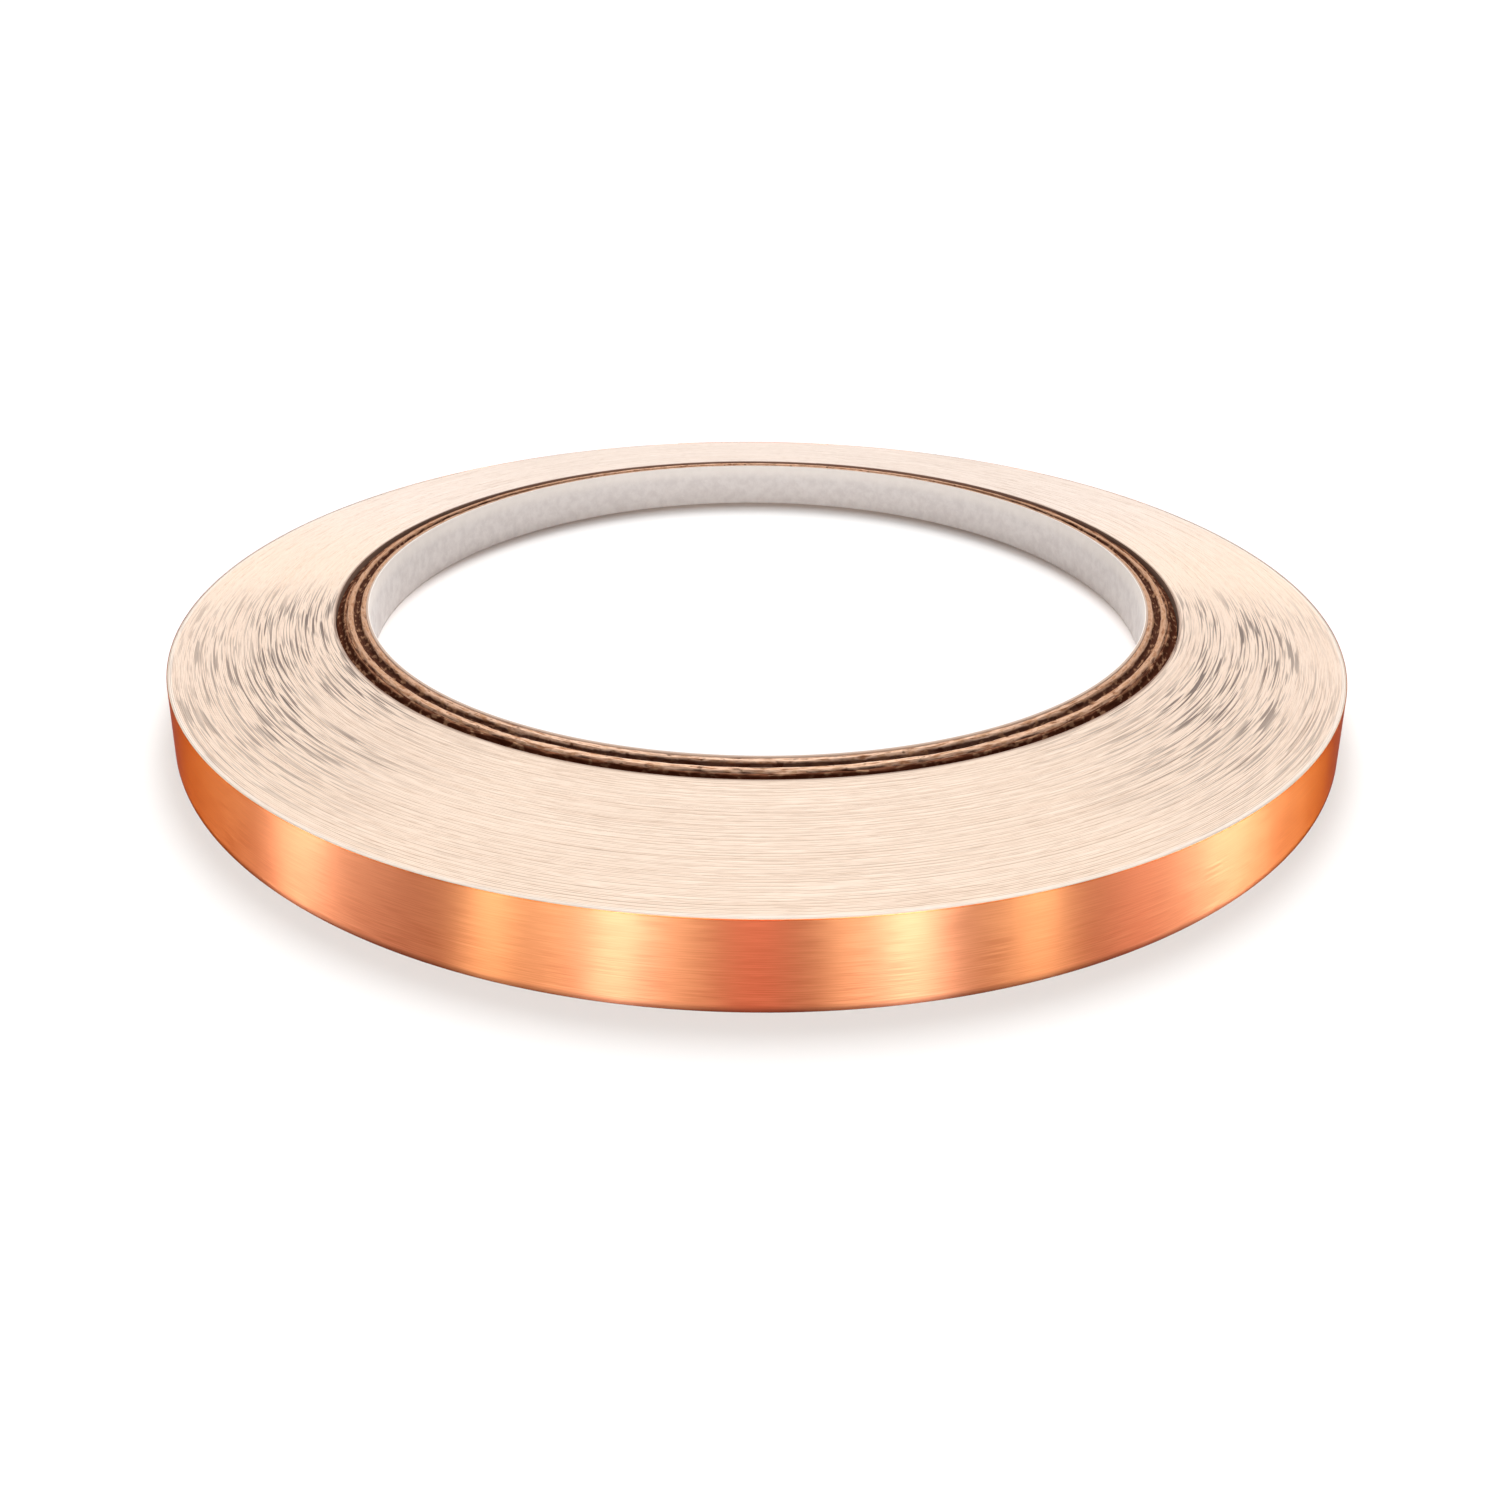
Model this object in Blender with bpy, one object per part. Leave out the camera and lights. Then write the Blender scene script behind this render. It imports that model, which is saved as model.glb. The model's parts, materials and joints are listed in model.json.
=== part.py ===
"""Roll of copper foil tape on a paperboard core.

Units are metres and +Z is up. The roll lies on its side: its axis is the Z axis and its
underside is at z = 0. The core is a paper liner inside three plies of board. The tape is a
laminate of three layers, which from the roll's axis outwards are the release backing, the
adhesive and the copper foil. It is wound anticlockwise, seen from above. All turns but the
last are one solid, the last turn is built layer by layer, and past it the free end carries
on over the turn's own start.

The free end moves in two ways. The whole end lifts off the roll at its root, and past the
root its foil and adhesive peel off the backing.
"""

import math

import bmesh
import bpy

MM = 0.001

# Core
BORE_DIAMETER = 76.2 * MM
LINER_PLY = 0.25 * MM
BOARD_PLY = 0.8 * MM
GLUE_LINE = 0.02 * MM

# Tape; the core is cut level with its side faces
TAPE_WIDTH = 5.56 * MM
FOIL = 0.032 * MM
ADHESIVE = 0.025 * MM
BACKING = 0.046 * MM
LAYER_GAP = 0.003 * MM
TURNS = 111

# How the winding sits on the core
WINDING_CLEARANCE = 0.03 * MM

# Free end
LAP_ANGLE = math.radians(78.0)
TAIL_LENGTH = 24.0 * MM
LEAF_LENGTH = 16.0 * MM
END_GAP = 0.05 * MM
HINGE_GAP = 0.06 * MM

# Flats that a full turn is drawn with, the same on every ring and strip, so that
# neighbours stay parallel
FLATS = 96
STEP = 2.0 * math.pi / FLATS

# Derived radii
BORE_RADIUS = BORE_DIAMETER / 2
PITCH = BACKING + ADHESIVE + FOIL + 3 * LAYER_GAP
LINER_OUTER = BORE_RADIUS + LINER_PLY
INNER_PLY_INNER = LINER_OUTER + GLUE_LINE
INNER_PLY_OUTER = INNER_PLY_INNER + BOARD_PLY
MIDDLE_PLY_INNER = INNER_PLY_OUTER + GLUE_LINE
MIDDLE_PLY_OUTER = MIDDLE_PLY_INNER + BOARD_PLY
OUTER_PLY_INNER = MIDDLE_PLY_OUTER + GLUE_LINE
CORE_RADIUS = OUTER_PLY_INNER + BOARD_PLY
WINDING_INNER = CORE_RADIUS + WINDING_CLEARANCE

# Where the last turn's backing starts, on top of all the other turns
LAST_TURN_START = WINDING_INNER + PITCH * (TURNS - 1)

# Each layer's inner and outer face, measured out from the backing's inner face
BACKING_FACES = (0.0, BACKING)
ADHESIVE_FACES = (BACKING + LAYER_GAP, BACKING + LAYER_GAP + ADHESIVE)
FOIL_FACES = (PITCH - LAYER_GAP - FOIL, PITCH - LAYER_GAP)

# Angles along the last turn, from where it starts at the lap
TURN_START = END_GAP / LAST_TURN_START
TURN_END = 2.0 * math.pi - HINGE_GAP / LAST_TURN_START
TAIL_START = 2.0 * math.pi
LEAF_START = TAIL_START + (TAIL_LENGTH - LEAF_LENGTH) / LAST_TURN_START
TAIL_ROOT_END = LEAF_START - HINGE_GAP / LAST_TURN_START
TAIL_END = TAIL_START + TAIL_LENGTH / LAST_TURN_START


def clear_scene():
    for old in list(bpy.data.objects):
        bpy.data.objects.remove(old, do_unlink=True)


def material(name, colour, roughness, metallic=0.0):
    mat = bpy.data.materials.new(name)
    mat.use_nodes = True
    shader = mat.node_tree.nodes["Principled BSDF"]
    shader.inputs["Base Color"].default_value = (*colour, 1.0)
    shader.inputs["Roughness"].default_value = roughness
    shader.inputs["Metallic"].default_value = metallic
    mat.diffuse_color = (*colour, 1.0)
    return mat


def corner(radius, flat):
    """The corner of the roll's outline at a whole number of flats past the lap."""
    angle = LAP_ANGLE + flat * STEP
    return (radius * math.cos(angle), radius * math.sin(angle))


def tape_point(angle, offset):
    """A point of the tape this far along its last turn and this far out from its backing.

    The tape climbs one pitch a turn. Between two corners the point lies on the straight
    flat, so a strip that ends part way along a flat stays parallel to what is under it.
    """
    flat = math.floor(angle / STEP + 1e-9)
    part = angle / STEP - flat
    start = corner(LAST_TURN_START + PITCH * flat / FLATS + offset, flat)
    end = corner(LAST_TURN_START + PITCH * (flat + 1) / FLATS + offset, flat + 1)
    return tuple(a + (b - a) * part for a, b in zip(start, end))


def tape_angles(start, end):
    """The strip's ends and the corners between them."""
    first = math.floor(start / STEP + 1e-6) + 1
    last = math.ceil(end / STEP - 1e-6) - 1
    return [start] + [flat * STEP for flat in range(first, last + 1)] + [end]


def extruded(name, plan, faces, mat, pivot=None):
    """A flat plan of faces, lifted from z = 0 into a solid as wide as the tape.

    With a pivot, an empty on the joint's axis, the mesh is drawn from that axis.
    """
    centre = (0.0, 0.0, 0.0)
    if pivot:
        bpy.context.view_layer.update()
        centre = pivot.matrix_world.translation
    bm = bmesh.new()
    verts = [bm.verts.new((x - centre[0], y - centre[1], 0.0)) for x, y in plan]
    base = [bm.faces.new([verts[i] for i in face]) for face in faces]
    lifted = bmesh.ops.extrude_face_region(bm, geom=base, use_keep_orig=True)
    top = [item for item in lifted["geom"] if isinstance(item, bmesh.types.BMVert)]
    bmesh.ops.translate(bm, verts=top, vec=(0.0, 0.0, TAPE_WIDTH))
    bmesh.ops.recalc_face_normals(bm, faces=bm.faces)
    mesh = bpy.data.meshes.new(name)
    bm.to_mesh(mesh)
    bm.free()
    mesh.materials.append(mat)
    mesh.shade_smooth()
    mesh.set_sharp_from_angle(angle=math.radians(30.0))
    obj = bpy.data.objects.new(name, mesh)
    bpy.context.scene.collection.objects.link(obj)
    if pivot:
        obj.parent = pivot
    return obj


def ring(name, inner, outer, mat):
    """A plain ring between two radii."""
    plan = [corner(inner, k) for k in range(FLATS)]
    plan += [corner(outer, k) for k in range(FLATS)]
    faces = []
    for k in range(FLATS):
        after = (k + 1) % FLATS
        faces.append((k, after, FLATS + after, FLATS + k))
    return extruded(name, plan, faces, mat)


def wound_turns(name, mat):
    """Every turn but the last, with the step of one pitch where the tape comes round."""
    plan = [corner(WINDING_INNER, k) for k in range(FLATS)]
    plan += [tape_point(k * STEP, -LAYER_GAP) for k in range(FLATS + 1)]
    faces = []
    for k in range(FLATS):
        after = (k + 1) % FLATS
        faces.append((k, after, FLATS + after, FLATS + k))
    faces.append((2 * FLATS - 1, FLATS, 2 * FLATS))
    return extruded(name, plan, faces, mat)


def strip(name, offsets, start, end, mat, pivot=None):
    """One layer of the tape between two angles along the last turn."""
    angles = tape_angles(start, end)
    count = len(angles)
    plan = [tape_point(angle, offsets[0]) for angle in angles]
    plan += [tape_point(angle, offsets[1]) for angle in angles]
    faces = []
    for k in range(count - 1):
        faces.append((k, k + 1, count + k + 1, count + k))
    return extruded(name, plan, faces, mat, pivot)


def pivot_at(name, angle, parent=None):
    """An empty on a crease: upright, on the foil's outer face."""
    x, y = tape_point(angle, FOIL_FACES[1])
    empty = bpy.data.objects.new(name, None)
    bpy.context.scene.collection.objects.link(empty)
    empty.empty_display_size = TAPE_WIDTH
    empty.location = (x, y, 0.0)
    if parent:
        empty.parent = parent
        empty.location = (x - parent.location[0], y - parent.location[1], 0.0)
    return empty


def build_core():
    white_paper = material("liner_paper", (0.64, 0.57, 0.53), 0.8)
    inner_board = material("board_inner", (0.52, 0.32, 0.2), 0.9)
    middle_board = material("board_middle", (0.45, 0.27, 0.16), 0.9)
    outer_board = material("board_outer", (0.36, 0.2, 0.12), 0.9)
    ring("core_liner", BORE_RADIUS, LINER_OUTER, white_paper)
    ring("core_ply_inner", INNER_PLY_INNER, INNER_PLY_OUTER, inner_board)
    ring("core_ply_middle", MIDDLE_PLY_INNER, MIDDLE_PLY_OUTER, middle_board)
    ring("core_ply_outer", OUTER_PLY_INNER, CORE_RADIUS, outer_board)


def build_winding():
    turns = material("wound_edge", (0.94, 0.78, 0.65), 0.6)
    wound_turns("wound_turns", turns)
    backing = material("last_turn_backing", (0.86, 0.8, 0.72), 0.7)
    adhesive = material("last_turn_adhesive", (0.72, 0.6, 0.45), 0.5)
    foil = material("last_turn_foil", (0.86, 0.42, 0.24), 0.32, 1.0)
    strip("last_turn_backing", BACKING_FACES, TURN_START, TURN_END, backing)
    strip("last_turn_adhesive", ADHESIVE_FACES, TURN_START, TURN_END, adhesive)
    strip("last_turn_foil", FOIL_FACES, TURN_START, TURN_END, foil)


def build_free_end():
    """The tail lifts at its root, and its leaf of foil peels off at the second crease."""
    tail_root = pivot_at("tail_root_pivot", TAIL_START)
    leaf_root = pivot_at("leaf_root_pivot", LEAF_START, tail_root)
    backing = material("tail_backing", (0.86, 0.8, 0.72), 0.7)
    adhesive = material("tail_adhesive", (0.72, 0.6, 0.45), 0.5)
    foil = material("tail_foil", (0.86, 0.42, 0.24), 0.32, 1.0)
    strip("tail_backing", BACKING_FACES, TAIL_START, TAIL_END, backing, tail_root)
    strip("tail_adhesive", ADHESIVE_FACES, TAIL_START, TAIL_ROOT_END, adhesive, tail_root)
    strip("tail_foil", FOIL_FACES, TAIL_START, TAIL_ROOT_END, foil, tail_root)
    leaf_adhesive = material("leaf_adhesive", (0.72, 0.6, 0.45), 0.5)
    leaf_foil = material("leaf_foil", (0.86, 0.42, 0.24), 0.32, 1.0)
    strip("leaf_adhesive", ADHESIVE_FACES, LEAF_START, TAIL_END, leaf_adhesive, leaf_root)
    strip("leaf_foil", FOIL_FACES, LEAF_START, TAIL_END, leaf_foil, leaf_root)


clear_scene()
build_core()
build_winding()
build_free_end()
bpy.context.view_layer.update()
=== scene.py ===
import json
import math

import bpy
import numpy as np
from mathutils import Matrix, Vector


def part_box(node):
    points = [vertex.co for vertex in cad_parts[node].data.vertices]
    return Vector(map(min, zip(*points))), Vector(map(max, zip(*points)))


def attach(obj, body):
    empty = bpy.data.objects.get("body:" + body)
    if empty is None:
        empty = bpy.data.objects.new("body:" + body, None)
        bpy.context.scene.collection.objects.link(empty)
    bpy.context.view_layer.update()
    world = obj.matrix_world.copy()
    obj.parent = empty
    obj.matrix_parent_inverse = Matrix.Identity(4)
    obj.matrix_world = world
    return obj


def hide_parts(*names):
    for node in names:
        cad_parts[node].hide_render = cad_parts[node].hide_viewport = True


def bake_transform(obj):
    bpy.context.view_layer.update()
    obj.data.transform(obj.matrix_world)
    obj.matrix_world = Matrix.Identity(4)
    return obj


# The looks of a roll of copper foil tape. Its pieces sit where the CAD frame says: the winding
# as one fine spiral of cut edges, the last turn and the free end as real layers of tape, and
# the core as rough board with a paper lining. Lengths are in metres, but in mm in UV maps. The
# roll lies on its side with its axis upright. The camera looks along +Y, so that the free end is
# on the far side.

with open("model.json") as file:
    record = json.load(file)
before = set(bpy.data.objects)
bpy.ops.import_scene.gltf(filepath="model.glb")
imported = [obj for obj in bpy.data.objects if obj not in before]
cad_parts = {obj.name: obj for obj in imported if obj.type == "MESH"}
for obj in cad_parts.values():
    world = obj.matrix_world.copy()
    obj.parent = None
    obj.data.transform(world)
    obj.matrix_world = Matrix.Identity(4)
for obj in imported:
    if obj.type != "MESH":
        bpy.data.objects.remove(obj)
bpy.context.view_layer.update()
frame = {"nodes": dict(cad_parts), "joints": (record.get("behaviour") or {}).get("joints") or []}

MM = 0.001
FULL_TURN = 2.0 * math.pi

# Tape layers, from the roll's axis outwards
BACKING = 0.046 * MM
ADHESIVE = 0.025 * MM
FOIL = 0.032 * MM
LAYER_GAP = 0.003 * MM

# Fineness of what is built
STEPS = 432
PLY_STEPS = 1080
PLY_RINGS = 12
TAPE_STEP = math.radians(0.5)
WOUND_GROUPS = 4
SHARP_ANGLE = math.radians(40.0)

# Relief of the winding's side faces: how far an edge may sit back, how much further at the
# left and right, and the groove between two edges
EDGE_RELIEF = 0.022 * MM
SIDE_RELIEF = 0.06 * MM
GROOVE = 0.02 * MM

# Relief of the board's cut faces: its torn fuzz, and the depth where the painted shade in its
# hollows is darkest
BOARD_FUZZ = 0.09 * MM
BOARD_DARK_DEPTH = 0.34 * MM

# Paper liner: its rounded rims, and the slanting lap where its two ends overlap
LINER_RIM = 0.05 * MM
LINER_TOP_GAP = 0.005 * MM
LINER_CUT_IN = 0.03 * MM
LINER_CUT_BACK = 0.06 * MM
LAP_HEIGHT = 0.03 * MM
LAP_WIDTH = 0.25 * MM
LAP_PLACE = math.radians(250.0)
LAP_SLANT = 1.2

# Free end: the foil's strips meet away from the creases; these lengths set where the root piece
# starts and ends
ROOT_BEFORE = 5.0 * MM
ROOT_AFTER = 4.5 * MM
SEAM = 0.004 * MM
END_GAP = 0.05 * MM

# The foil's edges roll in a little, and the softer layers' edges are set back from the sides
FOIL_ROLL_IN = 0.01 * MM
FOIL_ROLL_UP = 0.06 * MM
ADHESIVE_SET_BACK = 0.06 * MM
BACKING_SET_BACK = 0.01 * MM
LAYER_BEVEL = 0.008 * MM

random = np.random.default_rng(7)


# ---------------------------------------------------------------- sizes read from the frame

def node_points(name):
    return np.array([vertex.co for vertex in frame["nodes"][name].data.vertices])


def radii(name):
    """The smallest and largest distance of a node's corners from the roll's axis."""
    distance = np.hypot(*node_points(name)[:, :2].T)
    return float(distance.min()), float(distance.max())


def joint_angle(name):
    """The angle at which a joint's axis stands round the roll."""
    x, y, _ = next(joint for joint in frame["joints"] if joint["name"] == name)["pos_m"]
    return math.atan2(y, x)


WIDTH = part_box("wound_turns")[1].z
BORE, LINER_OUTER = radii("core_liner")
PLIES = {name: radii(name) for name in ("core_ply_inner", "core_ply_middle", "core_ply_outer")}
CORE = PLIES["core_ply_outer"][1]
wound_radii = np.hypot(*node_points("wound_turns")[:, :2].T)
WINDING_INNER = float(wound_radii.min())
LAST_TURN = float(wound_radii[wound_radii > WINDING_INNER + MM].min()) + LAYER_GAP
PITCH = float(wound_radii.max()) + LAYER_GAP - LAST_TURN
TURNS = round((LAST_TURN - WINDING_INNER) / PITCH)
LAP = joint_angle("tail_lift")
leaf_points = node_points("leaf_foil")
END_ANGLE = float(((np.arctan2(leaf_points[:, 1], leaf_points[:, 0]) - LAP) % FULL_TURN).max())


def polar(radius, angle, height):
    return Vector((radius * math.cos(angle), radius * math.sin(angle), height))


# ---------------------------------------------------------------- meshes

def smooth_noise(place, cell):
    """Seeded values between 0 and 1 that change smoothly along one coordinate."""
    scaled = np.asarray(place) / cell
    whole = np.floor(scaled).astype(int)
    part = scaled - whole
    part = part * part * (3.0 - 2.0 * part)
    low = int(whole.min())
    values = random.random(int(whole.max()) - low + 2)
    return values[whole - low] * (1.0 - part) + values[whole - low + 1] * part


def new_piece(name, verts, faces, material, uvs=None, **attributes):
    """A mesh object with its material, a UV map in mm and named values on its points."""
    mesh = bpy.data.meshes.new(name)
    mesh.from_pydata(np.asarray(verts).tolist(), [], faces)
    mesh.validate()
    if uvs is not None:
        layer = mesh.uv_layers.new(name="tape")
        layer.data.foreach_set("uv", np.asarray(uvs, dtype=np.float32).ravel())
    for key, values in attributes.items():
        attribute = mesh.attributes.new(key, "FLOAT", "POINT")
        attribute.data.foreach_set("value", np.asarray(values, dtype=np.float32))
    mesh.materials.append(material)
    mesh.shade_smooth()
    mesh.set_sharp_from_angle(angle=SHARP_ANGLE)
    piece = bpy.data.objects.new(name, mesh)
    bpy.context.scene.collection.objects.link(piece)
    return piece


def ring_grid(rings, steps, shift):
    """Corner numbers of rings round the axis, as rows of steps + 1 columns.

    With a shift of 0 each ring closes on itself. With a shift of 2 the end of a ring is the
    start of the second ring further out, so that the rings are one spiral.
    """
    rows = np.arange(rings + 1)[:, None]
    grid = rows * steps + np.arange(steps + 1)[None, :]
    starts = rows[:, 0] + shift
    beyond = (rings + 1) * steps + starts - rings - 1
    grid[:, -1] = np.where(starts <= rings, starts * steps, beyond)
    return grid


def ring_solid(name, radius, angle, top, bottom, grid, shift, material, uv_rows, **attributes):
    """A closed solid between a top and a bottom sheet of rings round the axis."""
    count = len(radius)
    plan = np.stack([radius * np.cos(angle), radius * np.sin(angle)], axis=1)
    verts = np.concatenate([np.column_stack([plan, top]), np.column_stack([plan, bottom])])
    upper = np.stack([grid[:-1, :-1], grid[1:, :-1], grid[1:, 1:], grid[:-1, 1:]], axis=-1)
    upper = upper.reshape(-1, 4)
    lower = upper[:, ::-1] + count
    outer = list(grid[-1])
    inner = list(grid[0])
    if shift:
        outer += [grid[-2][-1]]
        inner += [grid[1][0]]
    else:
        outer.pop()
        inner.pop()
    walls = []
    for loop in (outer, inner[::-1]):
        for here, after in zip(loop, loop[1:] + loop[:1]):
            walls.append((here, here + count, after + count, after))
    uvs = np.concatenate([uv_rows, uv_rows[:, ::-1], np.zeros((len(walls), 4, 2))])
    faces = upper.tolist() + lower.tolist() + [tuple(map(int, wall)) for wall in walls]
    doubled = {key: np.concatenate([values, values]) for key, values in attributes.items()}
    return new_piece(name, verts, faces, material, uvs, **doubled)


def ring_uvs(grid, start, row_share, steps, arc_radius):
    """Per face: the arc length in mm along the ring, and the place across the rings.

    The place across starts at a given value and grows by a share with each ring.
    """
    rows = np.arange(grid.shape[0] - 1)
    across = (start + rows * row_share)[:, None]
    whole = np.floor(start + rows * row_share + 1e-6)[:, None]
    arc = (arc_radius(whole) / MM) * FULL_TURN / steps
    here = arc * np.arange(steps)[None, :]
    after = arc * (np.arange(steps) + 1)[None, :]
    near = np.broadcast_to(across, here.shape)
    far = np.broadcast_to(across + row_share, here.shape)
    corners = [(here, near), (here, far), (after, far), (after, near)]
    return np.stack([np.stack(pair, axis=-1) for pair in corners], axis=2).reshape(-1, 4, 2)


# ---------------------------------------------------------------- materials

class Shader:
    """A node tree, with short calls for the nodes that the materials here use."""

    def __init__(self, name):
        self.material = bpy.data.materials.new(name)
        self.material.use_nodes = True
        self.tree = self.material.node_tree
        self.surface = self.tree.nodes["Principled BSDF"]

    def put(self, socket, value):
        if isinstance(value, bpy.types.NodeSocket):
            self.tree.links.new(value, socket)
        else:
            socket.default_value = value

    def node(self, kind, inputs, output=0, **settings):
        made = self.tree.nodes.new(kind)
        for key, value in settings.items():
            setattr(made, key, value)
        for key, value in inputs.items():
            self.put(made.inputs[key], value)
        return made.outputs[output]

    def math(self, operation, a, b=0.0):
        return self.node("ShaderNodeMath", {0: a, 1: b}, operation=operation)

    def fit(self, value, low, high, to_low=0.0, to_high=1.0):
        """The value's place between two limits, eased and held inside them."""
        inputs = {"Value": value, "From Min": low, "From Max": high}
        inputs.update({"To Min": to_low, "To Max": to_high})
        return self.node("ShaderNodeMapRange", inputs, interpolation_type="SMOOTHSTEP")

    def mix(self, share, a, b):
        made = self.tree.nodes.new("ShaderNodeMix")
        made.data_type = "RGBA"
        for socket, value in ((made.inputs[0], share), (made.inputs[6], a), (made.inputs[7], b)):
            self.put(socket, value)
        return made.outputs[2]

    def uv(self):
        """The two coordinates of the UV map, in mm along the tape and across it."""
        place = self.node("ShaderNodeUVMap", {}, uv_map="tape")
        split = self.tree.nodes.new("ShaderNodeSeparateXYZ")
        self.put(split.inputs[0], place)
        return split.outputs[0], split.outputs[1]

    def position(self):
        place = self.node("ShaderNodeTexCoord", {}, output="Object")
        split = self.tree.nodes.new("ShaderNodeSeparateXYZ")
        self.put(split.inputs[0], place)
        return split.outputs[0], split.outputs[1], split.outputs[2]

    def bearing(self):
        """A point's distance from the roll's axis, and its shares sideways and to the back."""
        x, y, _ = self.position()
        squares = self.math("ADD", self.math("MULTIPLY", x, x), self.math("MULTIPLY", y, y))
        radius = self.math("SQRT", squares)
        sideways = self.math("DIVIDE", self.math("ABSOLUTE", x), radius)
        return radius, sideways, self.math("DIVIDE", y, radius)

    def vector(self, x, y, z):
        return self.node("ShaderNodeCombineXYZ", {0: x, 1: y, 2: z})

    def noise(self, place, scale=1.0, detail=2.0, roughness=0.5):
        inputs = {"Vector": place, "Scale": scale, "Detail": detail, "Roughness": roughness}
        return self.node("ShaderNodeTexNoise", inputs)

    def stretched(self, u, v, length, thickness, detail=2.0, seed=0.0):
        """Noise whose cells are so long and so thick, in the units of u and v."""
        place = self.vector(self.math("DIVIDE", u, length), self.math("DIVIDE", v, thickness), seed)
        return self.noise(place, detail=detail)

    def bump(self, height, strength, distance):
        inputs = {"Height": height, "Strength": strength, "Distance": distance}
        self.put(self.surface.inputs["Normal"], self.node("ShaderNodeBump", inputs))

    def finish(self, **sockets):
        """Sets the surface's sockets, which go by their names in lower case."""
        for key, value in sockets.items():
            title = key.replace("_", " ").title().replace("Ior", "IOR")
            self.put(self.surface.inputs[title], value)
        return self.material


def copper_foil():
    """Bright rolled copper: its fine grain runs along the tape and spreads light across it."""
    s = Shader("copper_foil")
    u, v = s.uv()
    grain = s.stretched(u, v, 2.6, 0.07, detail=3.0)
    streaks = s.stretched(u, v, 14.0, 0.16, seed=4.0)
    tarnish = s.stretched(u, v, 9.0, 5.0, seed=9.0)
    colour = s.mix(s.fit(grain, 0.3, 0.7), (0.56, 0.12, 0.05, 1), (0.66, 0.155, 0.068, 1))
    colour = s.mix(s.fit(streaks, 0.55, 0.75, 0.0, 0.4), colour, (0.7, 0.19, 0.085, 1))
    colour = s.mix(s.fit(tarnish, 0.5, 0.8, 0.0, 0.25), colour, (0.52, 0.105, 0.04, 1))
    # Painted light: the foil gets lighter towards its upper edge
    colour = s.mix(s.fit(v, 1.0, 5.0, 0.0, 0.35), colour, (0.7, 0.19, 0.085, 1))
    # Painted reflection of the contact shadow: near black along the lower edge
    colour = s.mix(s.fit(v, 0.5, 0.0, 0.0, 0.9), colour, (0.16, 0.03, 0.015, 1))
    upper_edge = s.fit(v, WIDTH / MM - 0.12, WIDTH / MM, 0.0, 0.8)
    colour = s.mix(upper_edge, colour, (0.5, 0.08, 0.02, 1))
    tangent = s.node("ShaderNodeTangent", {}, direction_type="UV_MAP", uv_map="tape")
    s.put(s.surface.inputs["Tangent"], tangent)
    s.bump(grain, 0.25, 0.004 * MM)
    rough = s.fit(grain, 0.25, 0.75, 0.3, 0.34)
    return s.finish(base_color=colour, metallic=1.0, roughness=rough, anisotropic=1.0,
                    anisotropic_rotation=0.25, specular_tint=(0.38, 0.13, 0.08, 1))


def cut_edges():
    """The winding's side: hundreds of cut edges, with bumped gaps and painted shade in dashes at
    the left and right front and where an edge sits back.
    """
    s = Shader("wound_edge")
    u, turn = s.uv()
    _, sideways, behind = s.bearing()
    recess = s.node("ShaderNodeAttribute", {}, output="Fac", attribute_name="recess")
    # Painted shade mask for the left and right front, where a side light would shade the edges'
    # steps
    painted_side_shade = s.math("MULTIPLY", s.fit(sideways, 0.35, 0.75), s.fit(behind, -0.1, -0.4))
    paper = s.mix(s.stretched(u, turn, 9.0, 7.0), (0.93, 0.75, 0.61, 1), (0.9, 0.71, 0.57, 1))
    # Painted light: the paper is lighter towards the back
    paper = s.mix(s.fit(behind, -0.1, 0.5, 0.0, 0.6), paper, (0.92, 0.8, 0.73, 1))
    rows = s.stretched(u, turn, 40.0, 2.2, detail=1.0, seed=2.0)
    colour = s.mix(s.fit(rows, 0.45, 0.6, 0.0, 0.11), paper, (0.74, 0.5, 0.35, 1))
    stitches = s.stretched(u, turn, 1.2, 1.2, detail=0.0, seed=3.0)
    marks = s.math("MULTIPLY", s.fit(stitches, 0.52, 0.66), s.fit(rows, 0.38, 0.55, 0.1, 0.26))
    colour = s.mix(marks, colour, (0.6, 0.42, 0.3, 1))
    # Painted shade: the side face turns greyer at the left and right front
    colour = s.mix(s.math("MULTIPLY", painted_side_shade, 0.2), colour, (0.66, 0.51, 0.44, 1))
    long_dashes = s.fit(s.stretched(u, turn, 7.0, 1.6, detail=0.0, seed=6.0), 0.58, 0.66)
    fine_dashes = s.fit(s.stretched(u, turn, 3.6, 1.0, detail=0.0, seed=8.0), 0.55, 0.66)
    clumps = s.stretched(u, turn, 16.0, 20.0, seed=11.0)
    # Painted shade: dark dashes at the left and right front, fewer on the outer turns, and darkness
    # where an edge sits back
    dark = s.math("MAXIMUM", long_dashes, s.math("MULTIPLY", fine_dashes, 0.7))
    dark = s.math("MULTIPLY", dark, s.fit(clumps, 0.3, 0.55, 0.1, 1.0))
    dark = s.math("MULTIPLY", dark, painted_side_shade)
    dark = s.math("MULTIPLY", dark, s.fit(turn, 0.45 * TURNS, 0.95 * TURNS, 1.0, 0.5))
    dark = s.math("MAXIMUM", dark, s.math("MULTIPLY", s.fit(recess, 0.75, 1.0), 0.2))
    colour = s.mix(s.math("MULTIPLY", dark, 0.92), colour, (0.17, 0.12, 0.1, 1))
    rim = s.fit(turn, TURNS - 3.0, TURNS - 1.0, 0.0, 0.5)
    colour = s.mix(rim, colour, (0.93, 0.86, 0.79, 1))
    colour = s.mix(s.fit(turn, 2.5, 0.0, 0.0, 0.75), colour, (0.2, 0.09, 0.05, 1))
    gaps = s.math("MULTIPLY", long_dashes, painted_side_shade)
    s.bump(s.math("ADD", gaps, s.math("MULTIPLY", stitches, 0.4)), 0.3, 0.02 * MM)
    return s.finish(base_color=colour, roughness=0.62, specular_ior_level=0.3)


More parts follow.
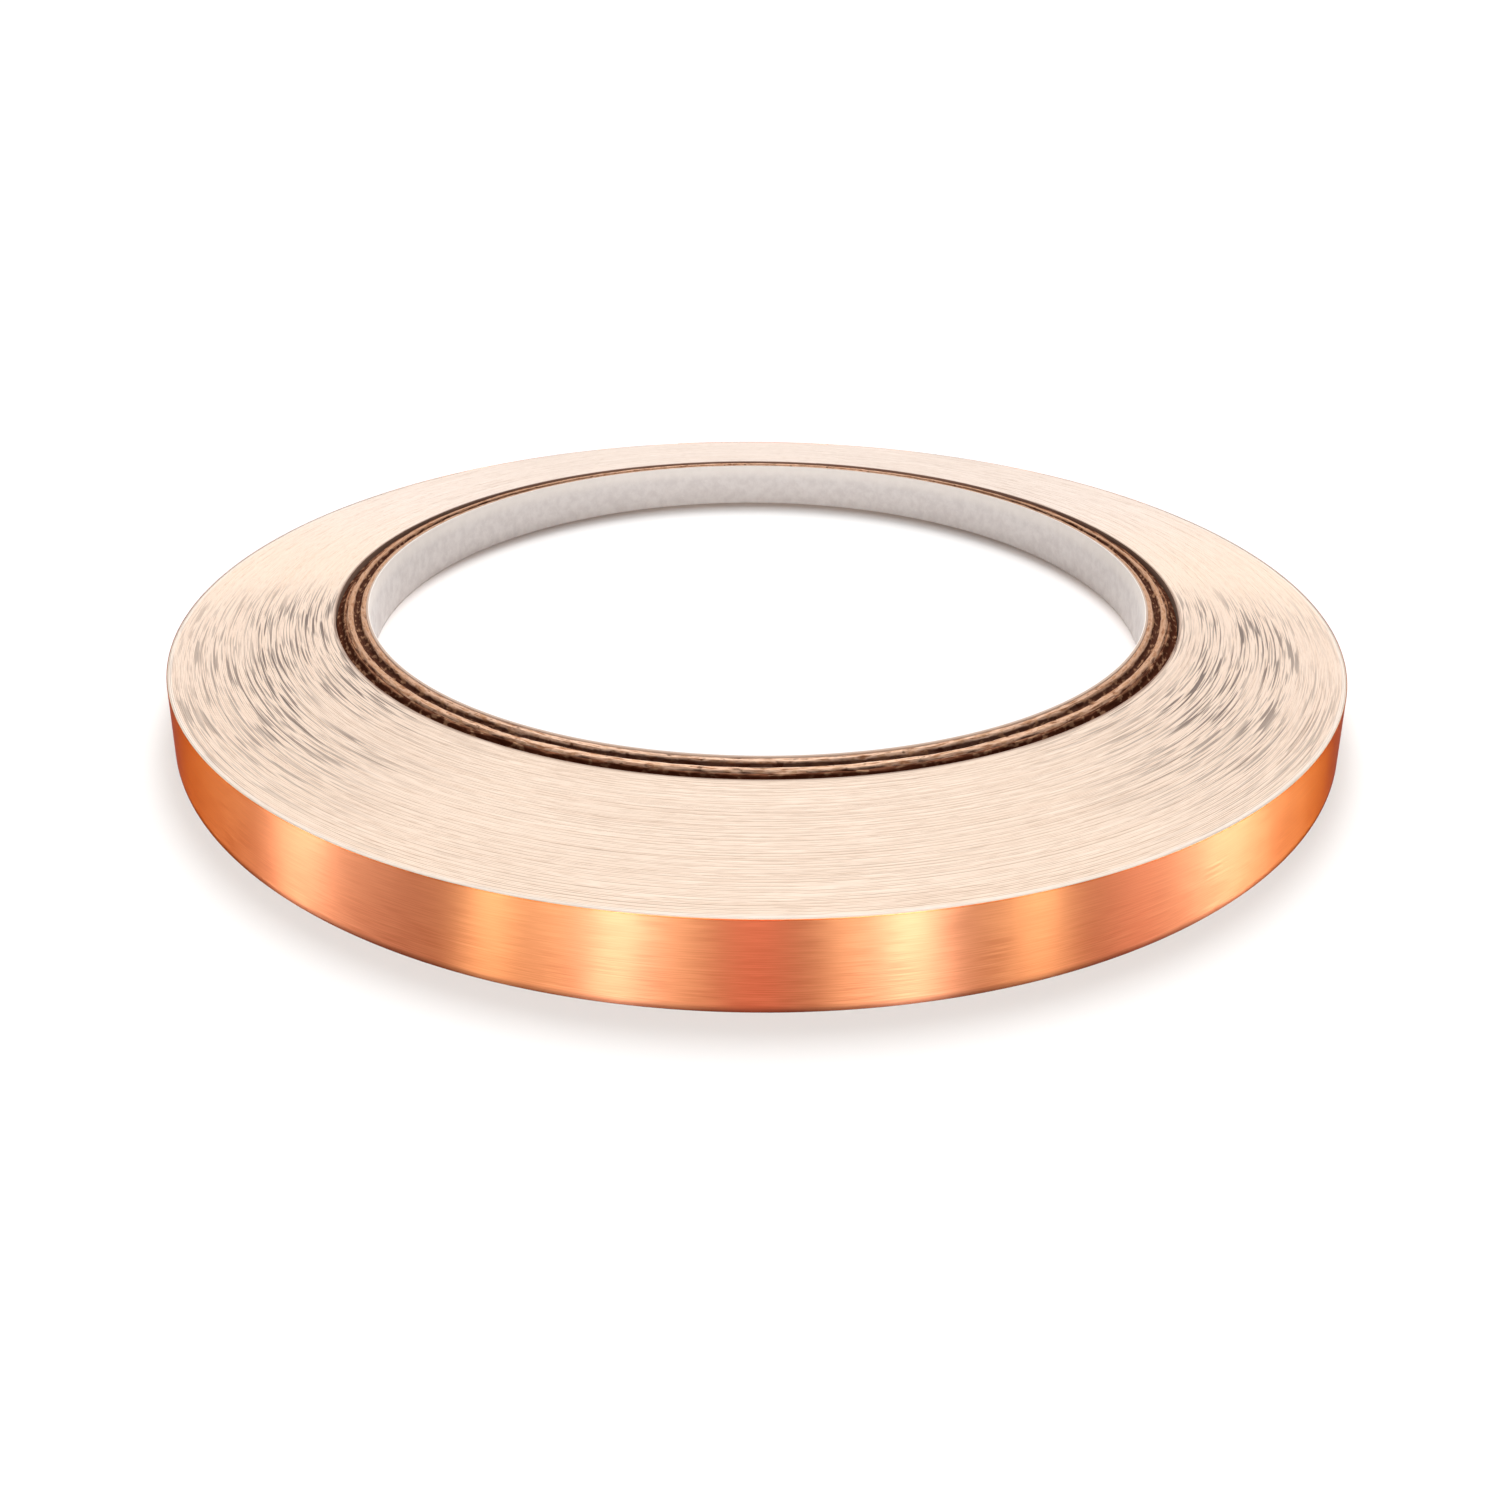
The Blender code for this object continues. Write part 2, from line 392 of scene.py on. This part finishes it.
def release_paper():
    """Coated release paper: smooth, off-white, with faint fibres."""
    s = Shader("release_backing")
    u, v = s.uv()
    fibres = s.stretched(u, v, 0.8, 0.25, detail=4.0)
    colour = s.mix(fibres, (0.8, 0.73, 0.64, 1), (0.68, 0.6, 0.5, 1))
    s.bump(fibres, 0.2, 0.004 * MM)
    return s.finish(base_color=colour, roughness=0.5)


def clear_adhesive():
    """A clear tacky film that shows its coating lines."""
    s = Shader("adhesive")
    u, v = s.uv()
    lines = s.stretched(u, v, 6.0, 0.3, detail=3.0)
    colour = s.mix(lines, (0.74, 0.5, 0.32, 1), (0.62, 0.4, 0.25, 1))
    s.bump(lines, 0.5, 0.006 * MM)
    return s.finish(base_color=colour, roughness=s.fit(lines, 0.3, 0.7, 0.12, 0.3), ior=1.47)


def board(name, light, dark, seed):
    """Kraft board at its cut edge: torn fibres along the ply, and painted shade near black in its
    hollows.
    """
    s = Shader(name)
    u, across = s.uv()
    depth = s.node("ShaderNodeAttribute", {}, output="Fac", attribute_name="recess")
    fibres = s.stretched(u, across, 1.3, 0.2, detail=4.0, seed=seed)
    flecks = s.stretched(u, across, 0.9, 0.32, seed=seed + 5.0)
    torn = s.stretched(u, across, 2.4, 0.6, detail=3.0, seed=seed + 9.0)
    sunk = s.math("ADD", depth, s.math("MULTIPLY", s.math("SUBTRACT", torn, 0.5), 1.2))
    sunk = s.math("ADD", sunk, s.math("MULTIPLY", s.math("SUBTRACT", fibres, 0.5), 0.8))
    colour = s.mix(s.fit(fibres, 0.33, 0.54), dark, light)
    colour = s.mix(s.fit(flecks, 0.4, 0.28, 0.0, 0.8), colour, (0.1, 0.03, 0.012, 1))
    colour = s.mix(s.fit(flecks, 0.57, 0.66, 0.0, 0.75), colour, (0.78, 0.47, 0.28, 1))
    _, sideways, behind = s.bearing()
    # Painted shade: browner at the left and right
    colour = s.mix(s.fit(sideways, 0.2, 0.85, 0.0, 0.65), colour, (0.4, 0.2, 0.11, 1))
    # Painted shade, near black in the hollows and weaker towards the back
    shade = s.fit(behind, 0.3, 0.95, 1.0, 0.3)
    painted_hollow_shade = s.math("MULTIPLY", s.fit(sunk, 0.3, 0.75, 0.0, 0.93), shade)
    colour = s.mix(painted_hollow_shade, colour, (0.05, 0.007, 0.001, 1))
    stray = s.math("MULTIPLY", s.fit(flecks, 0.52, 0.66), s.fit(sideways, 0.1, 0.6, 0.1, 0.5))
    colour = s.mix(stray, colour, (0.55, 0.3, 0.17, 1))
    s.bump(s.math("ADD", fibres, flecks), 0.9, 0.08 * MM)
    return s.finish(base_color=colour, roughness=0.9, specular_ior_level=0.04)


def liner_paper():
    """Grey-white paper with a faint mottle, a painted light near its top, and brown at its cut rim.
    """
    s = Shader("liner_paper")
    x, y, z = s.position()
    place = s.vector(s.math("DIVIDE", x, MM), s.math("DIVIDE", y, MM), s.math("DIVIDE", z, MM))
    mottle = s.noise(place, scale=0.9, detail=5.0, roughness=0.6)
    fibres = s.noise(place, scale=4.5, detail=3.0)
    colour = s.mix(s.fit(mottle, 0.3, 0.7), (0.72, 0.66, 0.635, 1), (0.82, 0.765, 0.735, 1))
    colour = s.mix(s.fit(fibres, 0.6, 0.75, 0.0, 0.3), colour, (0.87, 0.83, 0.8, 1))
    # Painted light: lighter near the top
    upper = s.fit(s.math("DIVIDE", z, WIDTH), 0.6, 0.9, 0.0, 0.7)
    colour = s.mix(upper, colour, (0.92, 0.85, 0.79, 1))
    rim = s.fit(s.bearing()[0], BORE + 0.03 * MM, BORE + 0.1 * MM, 0.0, 0.75)
    colour = s.mix(rim, colour, (0.42, 0.26, 0.17, 1))
    s.bump(s.math("ADD", mottle, s.math("MULTIPLY", fibres, 0.4)), 0.35, 0.05 * MM)
    return s.finish(base_color=colour, roughness=0.8, specular_ior_level=0.25)


# ---------------------------------------------------------------- the winding

def edge_heights(turn):
    """How far the cut edge sits back along the whole spiral, as a share from 0 to 1."""
    length = FULL_TURN * (WINDING_INNER * turn + PITCH * turn * turn / 2.0)
    share = 0.0
    for cell, weight in ((12.0, 0.45), (4.0, 0.3), (1.3, 0.25)):
        share = share + weight * smooth_noise(length, cell * MM)
    return share


def wound_turns(material):
    """The spiral of cut edges, in a few solids that follow one another outwards.

    Each turn has a row of points on the crest of its cut edge and one in the groove beside it.
    """
    along = np.arange(TURNS * STEPS + 1) / STEPS
    sunk = {side: edge_heights(along) for side in ("top", "bottom")}

    def recess(side, turn, column):
        place = np.clip(turn * STEPS + column, 0, TURNS * STEPS).astype(int)
        return sunk[side][place]

    def depth(share, angle):
        return (EDGE_RELIEF + SIDE_RELIEF * np.cos(angle) ** 2) * share

    marks = np.linspace(0, TURNS, WOUND_GROUPS + 1).round().astype(int)
    for number, (first, last) in enumerate(zip(marks[:-1], marks[1:])):
        rings = 2 * int(last - first)
        grid = ring_grid(rings, STEPS, 2)
        row = np.repeat(np.arange(rings + 1), STEPS)
        row = np.concatenate([row, [rings + 1, rings + 2]])
        column = np.concatenate([np.tile(np.arange(STEPS), rings + 1), [0, 0]])
        angle = LAP + FULL_TURN * column / STEPS
        radius = WINDING_INNER + PITCH * (first + row / 2.0 + column / STEPS)
        radius[row >= rings] -= LAYER_GAP
        turn = first + row // 2
        crest = row % 2 == 1
        shares = {}
        levels = {}
        for side in sunk:
            own = recess(side, turn, column)
            inside = recess(side, turn - 1, column)
            valley = np.maximum(own, inside)
            shares[side] = np.where(crest, own, valley)
            levels[side] = depth(shares[side], angle) + np.where(crest, 0.0, GROOVE)
        uvs = ring_uvs(grid, float(first), 0.5, STEPS,
                       lambda whole_turn: WINDING_INNER + PITCH * (whole_turn + 0.5))
        piece = ring_solid(f"wound_turns_{number + 1}", radius, angle, WIDTH - levels["top"],
                           levels["bottom"], grid, 2, material, uvs, recess=shares["top"])
        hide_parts("wound_turns")
        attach(piece, "roll")


# ---------------------------------------------------------------- the core

def ply(node, material, inner_dip, outer_dip):
    """A board ply. Its cut faces crown in the middle and sink towards its glue lines.

    A dip is how far it reaches, as a share of the ply's thickness, and how deep it falls.
    """
    inner, outer = PLIES[node]
    grid = ring_grid(PLY_RINGS, PLY_STEPS, 0)
    share = np.repeat(np.linspace(0.0, 1.0, PLY_RINGS + 1), PLY_STEPS)
    column = np.tile(np.arange(PLY_STEPS), PLY_RINGS + 1)
    angle = FULL_TURN * column / PLY_STEPS
    radius = inner + (outer - inner) * share
    levels = {}
    shares = {}
    for side in ("top", "bottom"):
        fuzz = np.zeros(len(share))
        # Noise in cells of three sizes, in mm, each with its weight
        for cell, weight in ((2.2, 0.5), (0.9, 0.35), (0.5, 0.3)):
            rows = [smooth_noise(CORE * FULL_TURN * np.arange(PLY_STEPS) / PLY_STEPS, cell * MM)
                    for _ in range(PLY_RINGS + 1)]
            fuzz += weight * (np.concatenate(rows) - 0.5)
        wobble = 0.25 * smooth_noise(radius * angle, 3.0 * MM)
        dip = 0.0
        for from_edge, (reach, fall) in ((share, inner_dip), (1.0 - share, outer_dip)):
            near = np.clip(1.0 - (from_edge - wobble * 0.3) / reach, 0.0, 1.0)
            dip = dip + fall * (1.0 - (1.0 - near) ** 2)
        levels[side] = np.maximum(dip + BOARD_FUZZ * (fuzz + 0.55), 0.01 * MM)
        shares[side] = np.clip(levels[side] / BOARD_DARK_DEPTH, 0.0, 1.0)
    uvs = ring_uvs(grid, 0.0, (outer - inner) / MM / PLY_RINGS, PLY_STEPS,
                   lambda rows: np.full_like(rows, CORE))
    piece = ring_solid(node + "_fibres", radius, angle, WIDTH - levels["top"], levels["bottom"],
                       grid, 0, material, uvs, recess=shares["top"])
    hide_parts(node)
    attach(piece, "roll")
    return piece


def liner():
    """The paper that lines the bore, with softly rounded rims and a slanting lap seam."""
    rows = [(BORE + LINER_RIM, 0.0), (BORE, LINER_RIM)]
    rows += [(BORE, WIDTH * share) for share in (0.25, 0.5, 0.75)]
    rows += [(BORE, WIDTH - LINER_RIM), (BORE + LINER_RIM, WIDTH - LINER_TOP_GAP)]
    rows += [(LINER_OUTER - LINER_CUT_IN, WIDTH - LINER_TOP_GAP)]
    rows += [(LINER_OUTER, WIDTH - LINER_CUT_BACK), (LINER_OUTER, LINER_CUT_BACK)]
    rows += [(LINER_OUTER - LINER_CUT_IN, 0.0)]
    count = len(rows)
    verts = []
    for step in range(PLY_STEPS):
        angle = FULL_TURN * step / PLY_STEPS
        for radius, height in rows:
            seam = (angle * BORE - height * LAP_SLANT) % (FULL_TURN * BORE)
            lap = LAP_HEIGHT * math.exp(-((seam - BORE * LAP_PLACE) / LAP_WIDTH) ** 2)
            inward = lap if radius < (BORE + LINER_OUTER) / 2.0 else 0.0
            verts.append(polar(radius - inward, angle, height))
    faces = []
    for step in range(PLY_STEPS):
        here, after = step * count, (step + 1) % PLY_STEPS * count
        for row in range(count):
            follow = (row + 1) % count
            faces.append((here + row, after + row, after + follow, here + follow))
    piece = new_piece("core_liner_paper", verts, faces, liner_paper())
    # It bounces no light onto the floor inside the bore
    piece.visible_diffuse = False
    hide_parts("core_liner")
    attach(piece, "roll")
    return piece


# ---------------------------------------------------------------- the tape's last turn

def foil_section():
    """The foil's outline across the tape; its outer face rolls in a little at both edges."""
    inner = PITCH - LAYER_GAP - FOIL
    outer = PITCH - LAYER_GAP
    curve = []
    for degrees in range(0, 91, 15):
        turn = math.radians(degrees)
        offset = outer - FOIL_ROLL_IN * (1.0 - math.cos(turn))
        curve.append((offset, FOIL_ROLL_UP * (1.0 - math.sin(turn))))
    upper = [(offset, WIDTH - height) for offset, height in curve]
    sides = [(outer, WIDTH * share) for share in (0.25, 0.5, 0.75)]
    return [(inner, 0.0)] + curve[::-1] + sides + upper + [(inner, WIDTH)]


def flat_section(low, high, set_back):
    """The outline of a flat layer whose edges sit a little back from the roll's faces."""
    bevel = min(LAYER_BEVEL, (high - low) / 3.0)
    base, top = set_back, WIDTH - set_back
    return [(low, base + bevel), (low + bevel, base), (high - bevel, base), (high, base + bevel),
            (high, top - bevel), (high - bevel, top), (low + bevel, top), (low, top - bevel)]


def tape_layer(name, section, start, end, material):
    """One layer swept along the tape's spiral between two angles past the lap."""
    steps = max(8, math.ceil((end - start) / TAPE_STEP))
    angles = np.linspace(start, end, steps + 1)
    count = len(section)
    verts = []
    for angle in angles:
        base = LAST_TURN + PITCH * angle / FULL_TURN
        for offset, height in section:
            verts.append(polar(base + offset, LAP + angle, height))
    faces = []
    uvs = []
    for step in range(steps):
        u0, u1 = (angle * LAST_TURN / MM for angle in angles[step:step + 2])
        for row in range(count):
            follow = (row + 1) % count
            here, after = step * count, (step + 1) * count
            faces.append((here + row, after + row, after + follow, here + follow))
            v0, v1 = section[row][1] / MM, section[follow][1] / MM
            uvs += [(u0, v0), (u1, v0), (u1, v1), (u0, v1)]
    first_cap = list(range(count))
    last_cap = [steps * count + row for row in reversed(range(count))]
    faces += [first_cap, last_cap]
    for cap, angle in ((first_cap, angles[0]), (last_cap, angles[-1])):
        uvs += [(angle * LAST_TURN / MM, section[row % count][1] / MM) for row in cap]
    piece = new_piece(name, verts, faces, material, uvs)
    return piece


def crease(piece):
    """Bakes the strip's placement into its mesh; the strip is not bent."""
    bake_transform(piece)


def tape(foil, adhesive, backing):
    """The last turn lies on the roll, and its free end carries on past the first crease.

    Returns the foil's pieces.
    """
    begin = END_GAP / LAST_TURN
    seam = SEAM / LAST_TURN
    root_start = FULL_TURN - ROOT_BEFORE / LAST_TURN
    leaf_start = FULL_TURN + ROOT_AFTER / LAST_TURN
    end = FULL_TURN + END_ANGLE
    sticky = BACKING + LAYER_GAP
    layers = {
        "foil": (foil_section(), foil, "copper_foil"),
        "adhesive": (flat_section(sticky, sticky + ADHESIVE, ADHESIVE_SET_BACK), adhesive,
                     "adhesive"),
    }
    foil_pieces = []
    for name, (section, material, slot) in layers.items():
        band = tape_layer(f"{name}_band", section, begin, root_start - seam, material)
        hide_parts(f"last_turn_{name}")
        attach(band, "roll")
        bent = tape_layer(f"{name}_root", section, root_start, leaf_start - seam, material)
        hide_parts(f"tail_{name}")
        crease(bent)
        leaf = tape_layer(f"{name}_leaf", section, leaf_start, end, material)
        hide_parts(f"leaf_{name}")
        crease(leaf)
        if name == "foil":
            foil_pieces = [band, bent, leaf]
    section = flat_section(0.0, BACKING, BACKING_SET_BACK)
    band = tape_layer("backing_band", section, begin, root_start - seam, backing)
    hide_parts("last_turn_backing")
    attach(band, "roll")
    tail = tape_layer("backing_tail", section, root_start, end, backing)
    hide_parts("tail_backing")
    crease(tail)
    return foil_pieces


# ---------------------------------------------------------------- studio

def camera():
    """Low in front of the roll; the lens is shifted down so that uprights stay upright."""
    data = bpy.data.cameras.new("camera")
    data.sensor_width = 36.0
    data.lens = 22.8
    data.shift_x = -0.0058
    data.shift_y = -0.218
    data.clip_start = 0.001
    distance, elevation, pitch, tilt = 101.4 * MM, 20.02, 12.0, 0.48
    e = math.radians(elevation)
    place = Vector((0.0, -math.cos(e) * distance, WIDTH + math.sin(e) * distance))
    turned = Matrix.Rotation(math.radians(90.0 - pitch), 4, "X")
    turned = turned @ Matrix.Rotation(math.radians(tilt), 4, "Z")
    seen = bpy.data.objects.new("camera", data)
    bpy.context.scene.collection.objects.link(seen)
    seen.matrix_world = Matrix.Translation(place) @ turned
    bpy.context.scene.camera = seen
    bpy.context.scene.view_settings.view_transform = "Standard"


def floor():
    """A plain white table that runs out past everything the camera sees."""
    s = Shader("studio_floor")
    cloud = s.noise(s.vector(*s.position()), scale=6.0)
    colour = s.mix(cloud, (0.97, 0.97, 0.97, 1), (0.95, 0.95, 0.95, 1))
    s.finish(base_color=colour, roughness=0.9, specular_ior_level=0.0)
    size = 8.0
    verts = [(-size, -size, 0.0), (size, -size, 0.0), (size, size, 0.0), (-size, size, 0.0)]
    ground = new_piece("studio_floor", verts, [(0, 1, 2, 3)], s.material)
    ground.location.z = -0.02 * MM
    ground.visible_glossy = False


def sky():
    """White round the horizon, dimmer above, and dim below for what the foil mirrors.

    A ramp's numbers are the upward shares of a direction where it starts and ends, and the
    brightness at each.
    """
    world = bpy.data.worlds.new("studio")
    world.use_nodes = True
    tree = world.node_tree
    direction = tree.nodes.new("ShaderNodeTexCoord")
    split = tree.nodes.new("ShaderNodeSeparateXYZ")
    tree.links.new(direction.outputs["Generated"], split.inputs[0])
    least = tree.nodes.new("ShaderNodeMath")
    least.operation = "MINIMUM"
    for number, limits in enumerate([(0.21, 0.36, 1.1, 0.19), (-0.9, -0.03, 0.25, 1.1)]):
        fade = tree.nodes.new("ShaderNodeMapRange")
        fade.interpolation_type = "SMOOTHSTEP"
        for key, value in zip(("From Min", "From Max", "To Min", "To Max"), limits):
            fade.inputs[key].default_value = value
        tree.links.new(split.outputs["Z"], fade.inputs["Value"])
        tree.links.new(fade.outputs[0], least.inputs[number])
    tree.links.new(least.outputs[0], tree.nodes["Background"].inputs["Strength"])
    tree.nodes["Background"].inputs["Color"].default_value = (1.0, 1.0, 1.0, 1.0)
    bpy.context.scene.world = world


def aimed(light, azimuth, elevation):
    """A lamp for the light, which shines at the roll from an azimuth and elevation in degrees."""
    a, e = math.radians(azimuth), math.radians(elevation)
    towards = Vector((math.cos(a) * math.cos(e), math.sin(a) * math.cos(e), math.sin(e)))
    lamp = bpy.data.objects.new(light.name, light)
    lamp.rotation_mode = "QUATERNION"
    lamp.rotation_quaternion = towards.to_track_quat("Z", "Y")
    bpy.context.scene.collection.objects.link(lamp)
    return lamp, towards


def sun(name, azimuth, elevation, spread, strength):
    """A broad distant light. Angles are in degrees."""
    light = bpy.data.lights.new(name, "SUN")
    light.angle = math.radians(spread)
    light.energy = strength
    return aimed(light, azimuth, elevation)[0]


def panel(number, azimuth, width, brightness, colour, targets):
    """A tall soft panel that lights only the foil. Angles are in degrees, seen from the roll."""
    distance = 2.0
    tall = 50.0
    light = bpy.data.lights.new(f"panel_{number}", "AREA")
    light.shape = "RECTANGLE"
    light.size = 2.0 * distance * math.tan(math.radians(width / 2.0))
    light.size_y = 2.0 * distance * math.tan(math.radians(tall / 2.0))
    light.color = colour
    light.energy = math.pi * light.size * light.size_y * brightness
    lamp, towards = aimed(light, azimuth, tall / 2.0)
    lamp.location = towards * distance
    lamp.visible_camera = False
    lamp.light_linking.receiver_collection = targets


def group(name, pieces):
    collection = bpy.data.collections.new(name)
    for piece in pieces:
        collection.objects.link(piece)
    return collection


def light_foil(pieces):
    """Upright panels round the front, whose reflections stand on the band as soft bars."""
    shining = group("shining", pieces)
    for piece in pieces:
        # It throws no copper glow onto the floor
        piece.visible_diffuse = False
    cool, warm, red = (0.5, 1.0, 1.25), (0.5, 1.0, 0.9), (1.0, 0.55, 0.65)
    panels = [(-190.0, 24.0, 9.0, warm), (-166.0, 9.0, 44.0, cool), (-131.0, 5.0, 45.0, warm),
              (-120.0, 4.0, 20.0, warm), (-111.0, 7.0, 50.0, cool), (-101.0, 6.0, 14.0, warm),
              (-90.0, 8.0, 5.0, red), (-76.0, 6.0, 16.0, warm), (-66.0, 8.0, 50.0, cool),
              (-46.0, 6.0, 36.0, warm), (-28.0, 6.0, 4.0, red), (-10.0, 13.0, 38.0, cool),
              (7.0, 24.0, 14.0, warm)]
    for number, (azimuth, width, brightness, colour) in enumerate(panels):
        panel(number, azimuth, width, brightness, colour, shining)


camera()
sky()
floor()
wound_turns(cut_edges())
plies = [
    ply("core_ply_inner", board("board_inner", (0.97, 0.66, 0.48, 1), (0.4, 0.18, 0.09, 1), 1.0),
        (0.1, 0.05 * MM), (0.5, 0.4 * MM)),
    ply("core_ply_middle", board("board_middle", (0.97, 0.64, 0.45, 1), (0.5, 0.23, 0.12, 1), 2.0),
        (0.3, 0.38 * MM), (0.15, 0.15 * MM)),
    ply("core_ply_outer", board("board_outer", (0.42, 0.17, 0.09, 1), (0.12, 0.03, 0.012, 1), 3.0),
        (0.15, 0.15 * MM), (0.85, 0.6 * MM)),
]
lining = liner()
light_foil(tape(copper_foil(), clear_adhesive(), release_paper()))

# Both keys shine from behind. Only the core blocks the lower one, so that the bore's shadow is
# deep and the one in front of the roll stays narrow. The low fill falls only on the lining.
sun("key_high", 86.0, 67.0, 26.0, 1.3)
behind = sun("key_behind", 86.0, 48.0, 22.0, 2.15)
behind.light_linking.blocker_collection = group("core", plies + [lining])
fill = sun("fill", -90.0, 15.0, 20.0, 0.8)
fill.light_linking.receiver_collection = group("lining", [lining])
